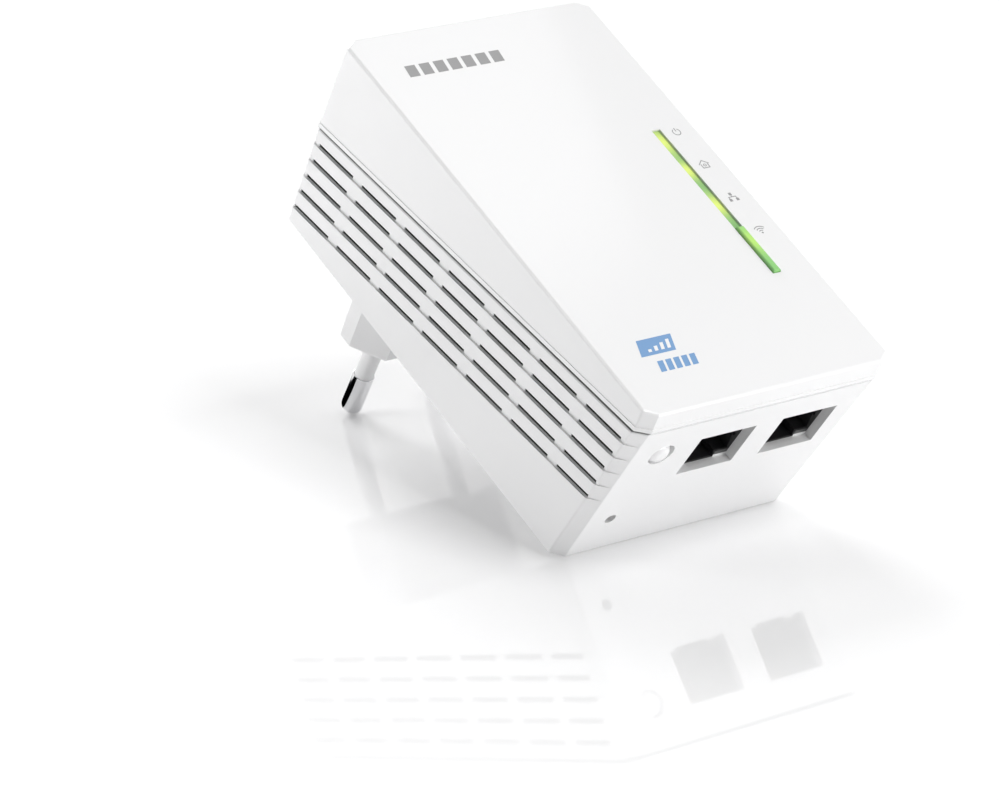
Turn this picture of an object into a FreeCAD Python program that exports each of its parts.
"""Plug-in powerline adapter with two network sockets.

Every piece is drawn in the adapter's own axes and then leaned as one onto a flat surface:
  x  across the front, left to right        y  from the port end to the far end
  z  from the back of the housing (0) to the front of the cover
The adapter rests on the lower edge of its port end and on the tips of its two pins.
"""
import FreeCAD, Part
import Sketcher
import math
import os
from types import SimpleNamespace
from FreeCAD import Placement, Rotation, Vector

doc = FreeCAD.newDocument("powerline_adapter")

# ---------------------------------------------------------------- driving dimensions (mm)
DIMENSIONS = [
    ("back_width", 51.8, "housing width at the back face"),
    ("side_slope", 0.03125, "widening of each side wall per mm towards the front"),
    ("near_back", 6.2, "port end at the back face"),
    ("near_slope", 0.1766, "lean of the port end per mm towards the front"),
    ("far_back", 94.25, "far end at the back face"),
    ("far_slope", 0.0128, "lean of the far end per mm"),
    ("corner_x", 2.42, "corner chamfer, leg across"),
    ("corner_y", 1.7, "corner chamfer, leg along"),
    ("wall", 1.8, "housing end wall"),
    ("cavity_half", 24.1, "half width of the housing's inside"),
    ("back_wall", 2.2, "housing back wall"),
    ("seam_near", 35.2, "height of the seam at the port end"),
    ("seam_slope", 0.148, "fall of the seam and the grooves per mm"),
    ("seam_gap", 0.5, "shadow gap between housing and cover"),
    ("front", 40.0, "front face"),
    ("cover_back", 52.52, "cover width carried down to the back face"),
    ("cover_slope", 0.016, "widening of each cover wall per mm"),
    ("cover_near", -0.2, "port end of the cover"),
    ("cover_far", 94.6, "far end of the cover"),
    ("tongue_half", 24.0, "half width over the locating tongue"),
    ("tongue_near", 2.2, "port end of the tongue"),
    ("tongue_far", 92.3, "far end of the tongue"),
    ("tongue_wall", 0.9, "tongue thickness"),
    ("cover_top", 2.0, "thickness of the cover's front"),
    ("lip_high", 0.85, "height of the lip along the cover's lower edge"),
    ("lip_out", 0.12, "how far the lip stands out"),
    ("tongue_drop", 1.3, "locating tongue below the seam"),
    ("edge_round", 0.55, "rounding of the cover's front edge"),
    ("back_round", 0.5, "rounding of the housing's back edges"),
    ("groove_top", 32.28, "height of the first groove at the port end"),
    ("groove_pitch", 3.68, "groove spacing square to the grooves"),
    ("groove_width", 1.05, "groove width"),
    ("groove_deep", 0.45, "groove depth"),
    ("slot_width", 0.95, "vent slot width"),
    ("slot_long", 10.55, "vent slot length"),
    ("slot_pitch", 13.25, "vent slot spacing"),
    ("slot_first", 15.95, "start of the first whole vent slot"),
    ("slot_shift", 0.75, "shift of the slots from groove to groove"),
    ("port_left", -3.95, "middle of the left port"),
    ("port_right", 14.05, "middle of the right port"),
    ("port_wide", 12.1, "port recess width"),
    ("port_low", 19.4, "back side of the port recess"),
    ("port_shoulder", 20.7, "shoulders beside the latch notch"),
    ("port_high", 29.4, "front side of the port recess"),
    ("port_floor", 4.45, "shoulder face of the recess"),
    ("port_notch", 6.4, "latch notch width"),
    ("jack_front", 4.75, "face of the jacks"),
    ("jack_deep", 15.6, "jack length"),
    ("jack_wide", 16.0, "jack width"),
    ("jack_high", 13.6, "jack height"),
    ("jack_bore", 12.4, "depth of the plug opening in the jack"),
    ("pair_x", -17.6, "Pair button, across"),
    ("pair_z", 27.5, "Pair button, height"),
    ("pair_radius", 2.32, "Pair button radius"),
    ("pair_hole", 2.5, "Pair button hole radius"),
    ("reset_x", -18.7, "reset hole, across"),
    ("reset_z", 9.5, "reset hole, height"),
    ("reset_hole", 1.1, "reset hole radius"),
    ("lens_x", 18.65, "middle of the light strip, across"),
    ("lens_wide", 1.9, "light strip slot width"),
    ("lens_near", 23.4, "near end of the light strip slot"),
    ("lens_split", 35.0, "split between Wi-Fi button and lens"),
    ("lens_far", 60.6, "far end of the light strip slot"),
    ("lens_sink", 0.35, "lens face below the front"),
    ("strip_gap", 0.12, "clearance round the lens and the Wi-Fi button"),
    ("button_rise", 0.5, "Wi-Fi button above the front"),
    ("plug_y", 76.8, "plug centre along the housing"),
    ("plug_deep", 17.4, "plug body standing out of the back"),
    ("plug_half_long", 17.65, "half length of the plug face"),
    ("plug_half_wide", 6.85, "half width of the plug face"),
    ("plug_flat", 1.5, "half width of the plug's narrow end"),
    ("plug_facet", 4.7, "facet leg along the plug's length"),
    ("plug_taper", 1.6, "draft of the plug body, degrees"),
    ("plug_room", 0.66, "growth of the plug opening in the back wall"),
    ("pin_pitch", 19.0, "distance between the pins"),
    ("pin_radius", 2.0, "pin radius"),
    ("pin_long", 19.0, "pin length beyond the plug face"),
    ("pin_bare", 9.0, "bare metal at the pin tip"),
    ("pin_round", 1.5, "rounding of the pin tip"),
    ("core_radius", 1.4, "pin core inside its sleeve"),
    ("sleeve_radius", 1.8, "pin sleeve radius"),
    ("main_low", 15.6, "lower side of the main board"),
    ("board", 1.6, "thickness of the main and power boards"),
    ("power_low", 5.0, "lower side of the power board"),
    ("light_low", 32.6, "lower side of the light board"),
    ("small_board", 1.2, "thickness of the light and key boards"),
    ("key_near", 9.6, "switch side of the key board"),
    ("tube_x", 21.0, "screw tubes, across"),
    ("tube_y", 88.3, "screw tubes, along"),
    ("tube_radius", 3.0, "screw tube radius"),
    ("tube_joint", 10.0, "where housing tube and cover post meet"),
    ("travel", 0.3, "button travel"),
]
sheet = doc.addObject("Spreadsheet::Sheet", "dims")
for row, (alias, value, meaning) in enumerate(DIMENSIONS, start=1):
    sheet.set("A%d" % row, meaning)
    sheet.set("B%d" % row, "%g" % value)
    sheet.setAlias("B%d" % row, alias)
doc.recompute()


class Size:
    """A length together with the sheet formula it comes from."""

    def __init__(self, value, text):
        self.value, self.text = float(value), text

    @staticmethod
    def of(other):
        return other if isinstance(other, Size) else Size(other, "%.6g" % other)

    def __add__(self, other):
        other = Size.of(other)
        return Size(self.value + other.value, "(%s + %s)" % (self.text, other.text))

    def __sub__(self, other):
        other = Size.of(other)
        return Size(self.value - other.value, "(%s - %s)" % (self.text, other.text))

    def __mul__(self, other):
        other = Size.of(other)
        return Size(self.value * other.value, "(%s * %s)" % (self.text, other.text))

    def __neg__(self):
        return Size(-self.value, "(0 - %s)" % self.text)

    __radd__ = __add__
    __rmul__ = __mul__

    def __rsub__(self, other):
        return Size.of(other) - self


d = SimpleNamespace(**{alias: Size(value, "dims." + alias) for alias, value, _ in DIMENSIONS})
PIECES = []
TURNS = {"x": Rotation(Vector(0, 1, 0), 90), "y": Rotation(Vector(1, 0, 0), -90), "z": Rotation()}


# ---------------------------------------------------------------- drawing helpers
def piece(label, exported=True):
    body = doc.addObject("PartDesign::Body", label)
    body.Label = label
    body.AllowCompound = True
    if exported:
        PIECES.append(body)
    return body


def bind(target, prop, size):
    target.setExpression(prop, Size.of(size).text)


def place(feature, x, y, z):
    for axis, size in (("x", x), ("y", y), ("z", z)):
        bind(feature, "Placement.Base." + axis, size)


def block(body, xs, ys, zs, cut=False):
    """A box between two values on each axis."""
    box = body.newObject("PartDesign::SubtractiveBox" if cut else "PartDesign::AdditiveBox", "Block")
    for prop, (low, high) in (("Length", xs), ("Width", ys), ("Height", zs)):
        bind(box, prop, Size.of(high) - low)
    place(box, xs[0], ys[0], zs[0])
    return box


def rod(body, x, y, z, radius, length, axis="z", cut=False):
    """A cylinder from the point (x, y, z) along +x, +y or +z."""
    kind = "PartDesign::SubtractiveCylinder" if cut else "PartDesign::AdditiveCylinder"
    cylinder = body.newObject(kind, "Rod")
    cylinder.Placement = Placement(Vector(), TURNS[axis])
    bind(cylinder, "Radius", radius)
    bind(cylinder, "Height", length)
    place(cylinder, x, y, z)
    return cylinder


def outline(body, plane, corners, shift=0.0, start=(0.0, 0.0), turn=0.0):
    """A closed sketch of straight lines, its corners tied to the sheet."""
    sketch = body.newObject("Sketcher::SketchObject", "Outline")
    base = next(item for item in body.Origin.OriginFeatures if item.Role == plane)
    sketch.AttachmentSupport = (base, [""])
    sketch.MapMode = "FlatFace"
    sketch.AttachmentOffset = Placement(Vector(), Rotation(Vector(0, 0, 1), turn))
    for axis, size in (("x", start[0]), ("y", start[1]), ("z", shift)):
        bind(sketch, "AttachmentOffset.Base." + axis, size)
    loops = corners if isinstance(corners[0], list) else [corners]
    for loop in loops:
        first = sketch.GeometryCount
        points = [(Size.of(u), Size.of(v)) for u, v in loop]
        for index, (u, v) in enumerate(points):
            after_u, after_v = points[(index + 1) % len(points)]
            sketch.addGeometry(Part.LineSegment(Vector(u.value, v.value, 0),
                                                Vector(after_u.value, after_v.value, 0)), False)
        for index in range(len(points)):
            following = first + (index + 1) % len(points)
            sketch.addConstraint(Sketcher.Constraint("Coincident", first + index, 2, following, 1))
        for index, point in enumerate(points):
            for kind, size, axis in (("DistanceX", point[0], -2), ("DistanceY", point[1], -1)):
                line = first + index
                if abs(size.value) < 1e-9:
                    sketch.addConstraint(Sketcher.Constraint("PointOnObject", line, 1, axis))
                    continue
                ends = (-1, 1, line, 1) if size.value > 0 else (line, 1, -1, 1)
                number = sketch.addConstraint(Sketcher.Constraint(kind, *ends, abs(size.value)))
                sketch.setExpression("Constraints[%d]" % number,
                                     (size if size.value > 0 else -size).text)
    return sketch


def extrude(body, sketch, length, cut=False, middle=False, back=False):
    feature = body.newObject("PartDesign::Pocket" if cut else "PartDesign::Pad", "Extrusion")
    feature.Profile = sketch
    bind(feature, "Length", length)
    feature.Midplane = middle
    feature.Reversed = back
    return feature


def combine(body, other, kind):
    """Add another body to this one, or cut it out."""
    joined = body.newObject("PartDesign::Boolean", "Combination")
    joined.setObjects([other])
    joined.Type = kind
    return joined


def soften(body, feature, radius, wanted, flat=False):
    """Round, or chamfer, the edges of a feature whose middle point passes the test."""
    doc.recompute()
    names = []
    for number, edge in enumerate(feature.Shape.Edges, start=1):
        middle = edge.valueAt((edge.FirstParameter + edge.LastParameter) / 2)
        if wanted(middle, edge):
            names.append("Edge%d" % number)
    rounding = body.newObject("PartDesign::Chamfer" if flat else "PartDesign::Fillet", "Softening")
    rounding.Base = (feature, names)
    bind(rounding, "Size" if flat else "Radius", radius)
    return rounding


def octagon(half, near, far, leg_x, leg_y):
    return [(-half, near + leg_y), (leg_x - half, near), (half - leg_x, near), (half, near + leg_y),
            (half, far - leg_y), (half - leg_x, far), (leg_x - half, far), (-half, far - leg_y)]


def hull(body, half, near, far, slopes, levels, legs):
    """A box with leaning walls and chamfered corners; half, near and far are its sizes at z = 0."""
    side, near_lean, far_lean = slopes
    low, high = levels
    leg_x, leg_y = legs
    extrude(body, outline(body, "YZ_Plane", [
        (near - near_lean * low, low), (far + far_lean * low, low),
        (far + far_lean * high, high), (near - near_lean * high, high)]), 80.0, middle=True)
    extrude(body, outline(body, "XZ_Plane", [[
        ((half + side * low) * way, low), (60.0 * way, low),
        (60.0 * way, high), ((half + side * high) * way, high)] for way in (-1, 1)]),
        240.0, cut=True, middle=True)
    for way in (-1, 1):
        for end, inward, lean in ((near, 1, -near_lean), (far, -1, far_lean)):
            corner = outline(body, "XY_Plane", [
                (half * way, end + leg_y * inward), ((half - leg_x) * way, end),
                ((half - leg_x) * way, end - 4.0 * inward), ((half + 4.0) * way, end - 4.0 * inward),
                ((half + 4.0) * way, end + leg_y * inward)])
            chamfer = extrude(body, corner, 160.0, cut=True, middle=True)
            chamfer.UseCustomVector = True
            chamfer.Direction = Vector(0, 0, 1)
            bind(chamfer, "Direction.x", side * way)
            bind(chamfer, "Direction.y", lean)
    return chamfer


def housing_hull(body, inset=0.0, grow=0.0):
    """The housing's outside up to the front, its side walls moved in and its ends moved out."""
    return hull(body, d.back_width * 0.5 - inset, d.near_back - grow, d.far_back + grow,
                (d.side_slope, d.near_slope, d.far_slope), (Size.of(0.0), d.front),
                (d.corner_x - inset, d.corner_y + grow))


def cover_hull(body, grow=0.0):
    return hull(body, d.cover_back * 0.5 + grow, d.cover_near - grow, d.cover_far + grow,
                (d.cover_slope, Size.of(0.0), Size.of(0.0)), (Size.of(15.0), d.front),
                (d.corner_x, d.corner_y))


def seam_side(body, rise, above, middle=True):
    """Everything above, or below, a plane parallel to the seam."""
    near_y, far_y = -5.0, 100.0
    near_z = d.seam_near - d.seam_slope * near_y + rise
    far_z = d.seam_near - d.seam_slope * far_y + rise
    limit = 60.0 if above else -10.0
    corners = [(near_y, near_z), (far_y, far_z), (far_y, limit), (near_y, limit)]
    return extrude(body, outline(body, "YZ_Plane", corners), 80.0, cut=True, middle=middle)


SEAM_ANGLE = math.degrees(math.atan(d.seam_slope.value))


def slanted_strips(body, strips):
    """Rectangles in the side view, laid along the direction of the grooves."""
    loops = []
    for start, end, low, high in strips:
        loops.append([(start, low), (end, low), (end, high), (start, high)])
    return outline(body, "YZ_Plane", loops, start=(0.0, d.groove_top), turn=-SEAM_ANGLE)


# ---------------------------------------------------------------- groove cutter (not a piece)
cutter = piece("groove_cutter", exported=False)
half_groove = d.groove_width * 0.5
extrude(cutter, slanted_strips(cutter, [
    (-12.0, 112.0, -d.groove_pitch * step - half_groove, -d.groove_pitch * step + half_groove)
    for step in range(5)]), 70.0, middle=True)
groove_core = piece("groove_core", exported=False)
housing_hull(groove_core, d.groove_deep, 0.02)
combine(cutter, groove_core, "Cut")

# ---------------------------------------------------------------- rear housing
rear = piece("rear_housing")
shell = housing_hull(rear)
soften(rear, shell, d.back_round, lambda p, edge: p.z < 0.01 or edge.BoundBox.ZLength > 30)
top_cut = seam_side(rear, 0.0, above=True)
soften(rear, top_cut, 0.22,
       lambda p, edge: abs(p.z + d.seam_slope.value * p.y - d.seam_near.value) < 0.01, flat=True)
extrude(rear, outline(rear, "YZ_Plane", [
    (d.near_back + d.wall - d.near_slope * d.back_wall, d.back_wall),
    (d.far_back - d.wall, d.back_wall), (d.far_back - d.wall, 50.0),
    (d.near_back + d.wall - d.near_slope * 50.0, 50.0)]), d.cavity_half * 2.0, cut=True, middle=True)

# thicker wall around the two ports, with the stepped recesses cut into it
skin = d.near_back + 0.6
extrude(rear, outline(rear, "YZ_Plane", [
    (skin - d.near_slope * 16.0, 16.0), (d.jack_front, 16.0), (d.jack_front, 31.2),
    (skin - d.near_slope * 31.2, 31.2)], shift=d.port_left - 8.0), d.port_right - d.port_left + 16.0)
block(rear, (d.port_left - 8.05, d.port_right + 8.05), (d.jack_front, 9.0), (16.9, 31.2), cut=True)
for middle in (d.port_left, d.port_right):
    half = d.port_wide * 0.5
    notch = d.port_notch * 0.5
    block(rear, (middle - half, middle + half), (-3.0, d.jack_front + 0.5),
          (d.port_shoulder, d.port_high), cut=True)
    block(rear, (middle - notch, middle + notch), (-3.0, d.jack_front + 0.5),
          (d.port_low, d.port_high), cut=True)
    block(rear, (middle - half, middle + half), (-3.0, d.port_floor),
          (d.port_low, d.port_high), cut=True)
rod(rear, d.pair_x, -2.0, d.pair_z, d.pair_hole, 8.0, "y", cut=True)
rod(rear, d.reset_x, -2.0, d.reset_z, d.reset_hole, 10.0, "y", cut=True)


def plug_outline(body, level, grow):
    """The plug's flattened hexagon, with narrow ends, at one height."""
    long, wide, flat = d.plug_half_long + grow, d.plug_half_wide + grow, d.plug_flat + grow
    corners = [(-long, d.plug_y - flat), (d.plug_facet - long, d.plug_y - wide),
               (long - d.plug_facet, d.plug_y - wide), (long, d.plug_y - flat),
               (long, d.plug_y + flat), (long - d.plug_facet, d.plug_y + wide),
               (d.plug_facet - long, d.plug_y + wide), (-long, d.plug_y + flat)]
    return outline(body, "XY_Plane", corners, shift=level)


extrude(rear, plug_outline(rear, -1.0, d.plug_room), d.back_wall + 2.0, cut=True, back=True)

# open slots in the floor of the grooves, six whole rows and a short one by the port end
half_slot = d.slot_width * 0.5
doc.recompute()
for row in range(6):
    begin = d.slot_first + d.slot_pitch * float(row)
    extrude(rear, slanted_strips(rear, [
        (begin + d.slot_shift * step, begin + d.slot_shift * step + d.slot_long,
         -d.groove_pitch * step - half_slot, -d.groove_pitch * step + half_slot)
        for step in range(5)]), 60.0, cut=True, middle=True)
extrude(rear, slanted_strips(rear, [
    (3.6 + 0.95 * step, d.slot_first - 2.65 + d.slot_shift * step,
     -d.groove_pitch * step - half_slot, -d.groove_pitch * step + half_slot)
    for step in range(5)]), 60.0, cut=True, middle=True)

# posts for the two boards
MAIN_POSTS = [(-21.3, 24.0), (21.3, 26.0), (-21.3, 49.0), (21.3, 49.0)]
POWER_POSTS = [(-21.3, 55.0), (21.3, 55.0)]
for x, y in MAIN_POSTS:
    rod(rear, x, y, d.back_wall - 0.5, 2.4, d.main_low - d.back_wall + 0.5)
    rod(rear, x, y, d.main_low - 7.0, 0.9, 8.0, cut=True)
for x, y in POWER_POSTS:
    rod(rear, x, y, d.back_wall - 0.5, 2.4, d.power_low - d.back_wall + 0.5)
    rod(rear, x, y, d.power_low - 2.5, 0.9, 3.0, cut=True)

# screw tubes with their sunk heads
for side in (-1, 1):
    x = d.tube_x * side
    rod(rear, x, d.tube_y, d.back_wall - 0.5, d.tube_radius, d.tube_joint - d.back_wall + 0.5)
    rod(rear, x, d.tube_y, -1.0, 1.4, d.tube_joint + 2.0, cut=True)
    rod(rear, x, d.tube_y, -1.0, 2.5, 8.0, cut=True)

combine(rear, cutter, "Cut")

# ---------------------------------------------------------------- front cover
lip = piece("cover_lip", exported=False)
cover_hull(lip, d.lip_out)
seam_side(lip, d.seam_gap + d.lip_high, above=True)
seam_side(lip, d.seam_gap, above=False)

cover = piece("front_cover")
cap = cover_hull(cover)
soften(cover, cap, d.edge_round,
       lambda p, edge: abs(p.z - d.front.value) < 0.01 or edge.BoundBox.ZLength > 20)
seam_side(cover, d.seam_gap, above=False)
combine(cover, lip, "Fuse")
ceiling = d.front - d.cover_top
tongue = piece("cover_tongue", exported=False)
extrude(tongue, outline(tongue, "XY_Plane", octagon(
    d.tongue_half, d.tongue_near, d.tongue_far, 1.0, 1.0), shift=15.0), d.front - 16.0)
seam_side(tongue, -d.tongue_drop, above=False)
combine(cover, tongue, "Fuse")
extrude(cover, outline(cover, "XY_Plane", octagon(
    d.tongue_half - d.tongue_wall, d.tongue_near + d.tongue_wall, d.tongue_far - d.tongue_wall, 0.7, 0.7),
    shift=10.0), ceiling - 10.0, cut=True, back=True)
strip = (d.lens_x - d.lens_wide * 0.5, d.lens_x + d.lens_wide * 0.5)
block(cover, strip, (d.lens_near, d.lens_far), (ceiling - 1.0, d.front + 1.0), cut=True)
for side in (-1, 1):
    x = d.tube_x * side
    rod(cover, x, d.tube_y, d.tube_joint, d.tube_radius, ceiling - d.tube_joint + 0.5)
    rod(cover, x, d.tube_y, d.tube_joint - 0.5, 1.05, 11.0, cut=True)
LIGHT_POSTS = [(22.0, 24.0), (15.3, 62.0), (22.0, 62.0)]
light_top = d.light_low + d.small_board
for x, y in LIGHT_POSTS:
    rod(cover, x, y, light_top, 1.0, ceiling - light_top + 0.5)

# ---------------------------------------------------------------- plug
plug = piece("plug_body")
stem = extrude(plug, plug_outline(plug, -d.plug_deep, 0.0), d.plug_deep + d.back_wall)
bind(stem, "TaperAngle", d.plug_taper)
soften(plug, stem, 1.0, lambda p, edge: p.z < 0.01 - d.plug_deep.value)
extrude(plug, plug_outline(plug, d.back_wall, d.plug_room + 1.6), 1.6)
for side in (-1, 1):
    x = d.pin_pitch * (0.5 * side)
    rod(plug, x, d.plug_y, -d.plug_deep - 1.0, d.core_radius, d.plug_deep + 8.0, cut=True)
    rod(plug, x, d.plug_y, -d.plug_deep - 1.0, d.sleeve_radius, 3.0, cut=True)

for label, side in (("pin_line", -1), ("pin_neutral", 1)):
    pin = piece(label)
    x = d.pin_pitch * (0.5 * side)
    tip = -d.plug_deep - d.pin_long
    head = rod(pin, x, d.plug_y, tip, d.pin_radius, d.pin_bare)
    soften(pin, head, d.pin_round, lambda p, edge, low=tip.value: p.z < low + 0.01)
    rod(pin, x, d.plug_y, tip + d.pin_bare - 0.5, d.core_radius,
        d.pin_long - d.pin_bare + d.plug_deep + 4.3)
    rod(pin, x, d.plug_y, 3.0, 0.9, 4.6)

sleeves = piece("pin_sleeves")
for side in (-1, 1):
    x = d.pin_pitch * (0.5 * side)
    rod(sleeves, x, d.plug_y, d.pin_bare - d.plug_deep - d.pin_long, d.sleeve_radius,
        d.pin_long - d.pin_bare + 2.0)
for side in (-1, 1):
    x = d.pin_pitch * (0.5 * side)
    rod(sleeves, x, d.plug_y, -d.plug_deep - d.pin_long, d.core_radius, d.pin_long + 4.0, cut=True)

# ---------------------------------------------------------------- rating label and screws
label = piece("rating_label")
block(label, (-19.0, 19.0), (22.0, 58.0), (-0.12, 0.0))

screws = piece("housing_screws")
for side in (-1, 1):
    x = d.tube_x * side
    rod(screws, x, d.tube_y, 5.2, 2.2, 1.8)
    rod(screws, x, d.tube_y, 7.0, 1.05, 13.0)
    block(screws, (x - 1.3, x + 1.3), (d.tube_y - 0.25, d.tube_y + 0.25), (5.0, 6.0), cut=True)
    block(screws, (x - 0.25, x + 0.25), (d.tube_y - 1.3, d.tube_y + 1.3), (5.0, 6.0), cut=True)

# ---------------------------------------------------------------- boards
main_top = d.main_low + d.board
main = piece("main_board")
extrude(main, outline(main, "XY_Plane", [
    (-12.4, 6.0), (23.6, 6.0), (23.6, 52.0), (-23.6, 52.0), (-23.6, 12.6), (-12.4, 12.6)],
    shift=d.main_low), d.board)
for x, y in MAIN_POSTS:
    rod(main, x, y, d.main_low - 1.0, 1.2, 4.0, cut=True)

power_top = d.power_low + d.board
power = piece("power_board")
extrude(power, outline(power, "XY_Plane", [
    (-18.2, 46.0), (18.2, 46.0), (18.2, 52.2), (23.4, 52.2), (23.4, 84.2), (16.9, 84.2), (16.9, 91.6),
    (-16.9, 91.6), (-16.9, 84.2), (-23.4, 84.2), (-23.4, 52.2), (-18.2, 52.2)], shift=d.power_low), d.board)
for x, y in POWER_POSTS:
    rod(power, x, y, d.power_low - 1.0, 1.2, 4.0, cut=True)
for side in (-1, 1):
    rod(power, d.pin_pitch * (0.5 * side), d.plug_y, d.power_low - 1.0, 1.0, 4.0, cut=True)

light = piece("light_board")
block(light, (13.6, 22.9), (20.6, 64.0), (d.light_low, light_top))

key = piece("key_board")
key_back = d.key_near + d.small_board
block(key, (-23.4, -12.8), (d.key_near, key_back), (4.6, 32.0))

board_screws = piece("board_screws")
for level, posts in ((main_top, MAIN_POSTS), (power_top, POWER_POSTS)):
    for x, y in posts:
        rod(board_screws, x, y, level - 4.0, 0.9, 4.2)
        rod(board_screws, x, y, level, 1.9, 1.2)

# ---------------------------------------------------------------- network jacks
for name, middle in (("left", d.port_left), ("right", d.port_right)):
    jack = piece("ethernet_jack_" + name)
    back = d.jack_front + d.jack_deep
    block(jack, (middle - d.jack_wide * 0.5, middle + d.jack_wide * 0.5), (d.jack_front, back),
          (main_top, main_top + d.jack_high))
    half = d.port_wide * 0.5 - 0.1
    notch = d.port_notch * 0.5 - 0.1
    bore = (d.jack_front - 1.0, d.jack_front + d.jack_bore)
    block(jack, (middle - half, middle + half), bore, (d.port_shoulder + 0.1, d.port_high - 0.1), cut=True)
    block(jack, (middle - notch, middle + notch), bore, (d.port_low + 0.2, d.port_shoulder + 0.5), cut=True)

    contacts = piece("jack_contacts_" + name)
    for number in range(8):
        x = middle + (number - 3.5) * 1.02
        sketch = outline(contacts, "YZ_Plane", [
            (d.jack_front + 3.2, d.port_high - 0.5), (d.jack_front + 3.2, d.port_high - 0.1),
            (d.jack_front + d.jack_bore, d.port_high - 0.1), (d.jack_front + d.jack_bore, d.port_high - 2.6),
            (d.jack_front + d.jack_bore - 0.4, d.port_high - 2.6)], shift=x - 0.2)
        extrude(contacts, sketch, 0.4)

# ---------------------------------------------------------------- buttons and switches
pair = piece("pair_button")
crown = rod(pair, d.pair_x, 0.95, d.pair_z, d.pair_radius, 4.15, "y")
soften(pair, crown, 1.9, lambda p, edge: p.y < 0.96)
rod(pair, d.pair_x, 3.85, d.pair_z, 3.2, 0.7, "y")

pair_switch = piece("pair_switch")
block(pair_switch, (d.pair_x - 3.0, d.pair_x + 3.0), (6.2, d.key_near), (d.pair_z - 3.0, d.pair_z + 3.0))
rod(pair_switch, d.pair_x, 5.5, d.pair_z, 1.85, 1.9, "y", cut=True)
pair_plunger = piece("pair_plunger")
rod(pair_plunger, d.pair_x, 5.1, d.pair_z, 1.75, 1.9, "y")

reset_switch = piece("reset_switch")
block(reset_switch, (d.reset_x - 3.0, d.reset_x + 3.0), (7.5, d.key_near), (d.reset_z - 3.0, d.reset_z + 3.0))
rod(reset_switch, d.reset_x, 7.0, d.reset_z, 1.35, 1.6, "y", cut=True)
reset_plunger = piece("reset_plunger")
rod(reset_plunger, d.reset_x, 6.6, d.reset_z, 1.25, 1.6, "y")

lens_top = d.front - d.lens_sink
inner = (strip[0] + d.strip_gap, strip[1] - d.strip_gap)
lens = piece("led_lens")
block(lens, inner, (d.lens_split + 0.08, d.lens_far - 0.06), (35.6, lens_top))
block(lens, (strip[0] - 1.2, strip[1] + 1.2), (d.lens_split + 0.6, d.lens_far + 0.8), (36.8, ceiling))

wifi = piece("wifi_button")
button_top = d.front + d.button_rise
bar = block(wifi, inner, (d.lens_near + d.strip_gap, d.lens_split - 0.08), (36.6, button_top))
soften(wifi, bar, 0.4, lambda p, edge: p.z > button_top.value - 0.01)
block(wifi, (strip[0] - 1.2, strip[1] + 1.2), (d.lens_near - 0.8, d.lens_split - 0.1), (36.5, 37.5))

switch_y = 29.2
wifi_switch = piece("wifi_switch")
block(wifi_switch, (d.lens_x - 3.0, d.lens_x + 3.0), (switch_y - 3.0, switch_y + 3.0), (light_top, 35.7))
rod(wifi_switch, d.lens_x, switch_y, 34.4, 1.85, 2.0, cut=True)
wifi_plunger = piece("wifi_plunger")
rod(wifi_plunger, d.lens_x, switch_y, 34.8, 1.75, 1.7)

leds = piece("status_leds")
for y in (59.1, 50.6, 42.0, 33.6):
    block(leds, (d.lens_x - 0.8, d.lens_x + 0.8), (y - 0.5, y + 0.5), (light_top, light_top + 0.7))

# ---------------------------------------------------------------- main board parts
magnetics = piece("lan_magnetics")
for middle in (d.port_left, d.port_right):
    block(magnetics, (middle - 6.8, middle + 4.4), (23.2, 30.2), (main_top, main_top + 5.5))
chip = piece("powerline_chip")
block(chip, (-15.0, -1.0), (33.5, 47.5), (main_top, main_top + 1.2))
sink = piece("heat_sink")
block(sink, (-15.0, -1.0), (33.5, 47.5), (main_top + 1.2, main_top + 7.2))
for number in range(5):
    x = -13.4 + 2.6 * number
    block(sink, (x, x + 1.4), (33.0, 48.0), (main_top + 2.6, main_top + 8.0), cut=True)
can = piece("shield_can")
block(can, (2.5, 17.5), (33.0, 47.5), (main_top, main_top + 2.8))
block(can, (2.8, 17.2), (33.3, 47.2), (main_top - 1.0, main_top + 2.5), cut=True)
radio = piece("wifi_chip")
block(radio, (6.0, 14.0), (36.0, 44.0), (main_top, main_top + 1.0))
memory = piece("memory_chips")
for y in (31.5, 39.5):
    block(memory, (-22.0, -17.0), (y, y + 6.0), (main_top, main_top + 1.1))
crystals = piece("crystals")
for x, y in ((-21.0, 28.0), (-3.5, 48.6)):
    block(crystals, (x, x + 3.2), (y, y + 2.2), (main_top, main_top + 0.8))
antenna_sockets = piece("antenna_sockets")
for x in (-17.0, 13.0):
    block(antenna_sockets, (x - 1.3, x + 1.3), (48.4, 51.0), (main_top, main_top + 1.2))
led_header = piece("light_header")
block(led_header, (20.4, 22.8), (31.0, 41.0), (main_top, d.light_low))
key_header = piece("key_header")
block(key_header, (-22.0, -14.0), (key_back, 16.0), (main_top, main_top + 2.6))
board_header = piece("board_header")
block(board_header, (-8.0, 8.0), (47.2, 49.8), (power_top, d.main_low))

# ---------------------------------------------------------------- antennas and their leads
ANTENNAS = {"left": (-23.0, -13.6, -17.0), "right": (11.0, 17.6, 13.0)}
for name, (low, high, socket) in ANTENNAS.items():
    antenna = piece("antenna_" + name)
    block(antenna, (low, high), (67.0, 84.5), (ceiling - 0.8, ceiling))


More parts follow.
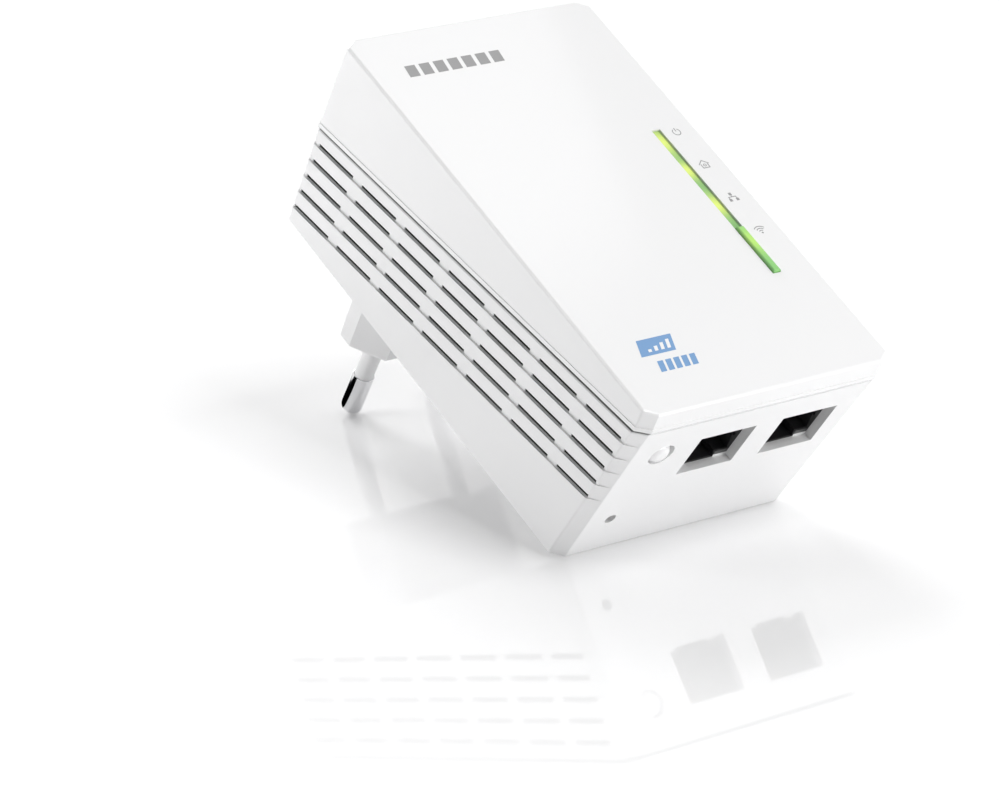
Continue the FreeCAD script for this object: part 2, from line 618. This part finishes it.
def lead_shape(points, bend, radius):
    """A round lead along straight runs joined by arcs."""
    edges, at = [], points[0]
    for before, corner, after in zip(points, points[1:], points[2:]):
        inward, outward = (before - corner).normalize(), (after - corner).normalize()
        reach = bend * math.tan((math.pi - inward.getAngle(outward)) / 2)
        start, end = corner + inward * reach, corner + outward * reach
        split = (inward + outward).normalize()
        centre = corner + split * math.hypot(bend, reach)
        edges += [Part.LineSegment(at, start).toShape(),
                  Part.Arc(start, centre - split * bend, end).toShape()]
        at = end
    edges.append(Part.LineSegment(at, points[-1]).toShape())
    path = Part.Wire(edges)
    ring = Part.Wire(Part.Circle(points[0], points[1] - points[0], radius).toShape())
    return path.makePipeShell([ring], True, True)


leads = []
for name, (low, high, socket) in ANTENNAS.items():
    lead = doc.addObject("Part::Feature", "coax_" + name)
    lead.Label = "coax_" + name
    level = ceiling.value - 0.4
    lead.Shape = lead_shape([Vector(socket, 67.0, level), Vector(socket, 54.4, level),
                             Vector(socket, 54.4, main_top.value + 0.6),
                             Vector(socket, 51.0, main_top.value + 0.6)], 1.6, 0.4)
    leads.append(lead)

# ---------------------------------------------------------------- power board parts
fuse = piece("mains_fuse")
rod(fuse, -18.4, 78.5, power_top, 4.1, 7.6)
varistor = piece("varistor")
rod(varistor, 18.0, 77.2, power_top + 4.5, 4.5, 3.4, "y")
x_capacitor = piece("x_capacitor")
block(x_capacitor, (-7.5, 7.5), (84.6, 91.0), (power_top, power_top + 12.0))
choke = piece("line_choke")
rod(choke, 0.0, 73.6, power_top + 5.6, 5.6, 6.4, "y")
rod(choke, 0.0, 73.0, power_top + 5.6, 2.2, 8.0, "y", cut=True)
bridge = piece("bridge_rectifier")
block(bridge, (13.6, 21.6), (69.2, 72.0), (power_top, power_top + 8.4))
bulk = piece("bulk_capacitors")
for x in (-18.0, -7.2):
    rod(bulk, x, 62.2, power_top, 5.1, 17.0)
bobbin = piece("transformer_bobbin")
block(bobbin, (4.4, 15.6), (55.6, 66.4), (power_top + 2.8, power_top + 11.8))
for low in (55.6, 64.6):
    block(bobbin, (4.4, 15.6), (low, low + 1.8), (power_top, power_top + 3.0))
core = piece("transformer_core")
block(core, (1.6, 18.4), (58.0, 64.0), (power_top, power_top + 14.6))
block(core, (4.4, 15.6), (57.0, 65.0), (power_top + 2.8, power_top + 11.8), cut=True)
outputs = piece("output_capacitors")
for x in (-20.0, -12.4):
    rod(outputs, x, 70.9, power_top, 3.15, 11.0)
y_capacitor = piece("y_capacitor")
rod(y_capacitor, 14.8, 49.5, power_top + 3.4, 3.4, 2.8, "x")
coupling = piece("coupling_transformer")
block(coupling, (-17.6, -9.4), (46.6, 53.4), (power_top, power_top + 7.4))

doc.recompute()

# ---------------------------------------------------------------- lean onto the resting surface
# The lower edge of the port end and the rounded pin tips touch one plane.
edge_round = d.back_round.value
edge_y = d.near_back.value + edge_round * (math.hypot(1, d.near_slope.value) - d.near_slope.value)
tip_y = d.plug_y.value - (d.pin_radius.value - d.pin_round.value)
tip_z = d.pin_round.value - d.plug_deep.value - d.pin_long.value
run, drop = tip_y - edge_y, edge_round - tip_z
lean = math.atan2(drop, run) + math.asin((d.pin_round.value - edge_round) / math.hypot(run, drop))
turn = Rotation(Vector(1, 0, 0), math.degrees(lean))
rise = edge_round - (edge_y * math.sin(lean) + edge_round * math.cos(lean))

solids = [body.Shape for body in PIECES] + [lead.Shape for lead in leads]
whole = Part.makeCompound(solids)
whole.Placement = Placement(Vector(0, 0, rise), turn)
bounds = whole.optimalBoundingBox(True)
spot = Placement(Vector(-bounds.Center.x, -bounds.Center.y, rise), turn)
for item in PIECES + leads:
    item.Placement = spot
doc.recompute()

# ---------------------------------------------------------------- checks and files
for item in doc.Objects:
    if "Invalid" in item.State or "Error" in item.State:
        raise RuntimeError("%s (%s) failed: %s" % (item.Name, item.Label, item.State))
for item in PIECES + leads:
    if item.Shape.isNull() or not item.Shape.isValid():
        raise RuntimeError("%s has no valid shape" % item.Label)
os.makedirs("parts", exist_ok=True)
for item in PIECES + leads:
    item.Shape.exportStep("parts/%s.step" % item.Label)
print("%d pieces, lean %.5f degrees, shift x %.5f y %.5f z %.5f, lowest point %.4f" %
      (len(PIECES) + len(leads), math.degrees(lean), *spot.Base, bounds.ZMin))
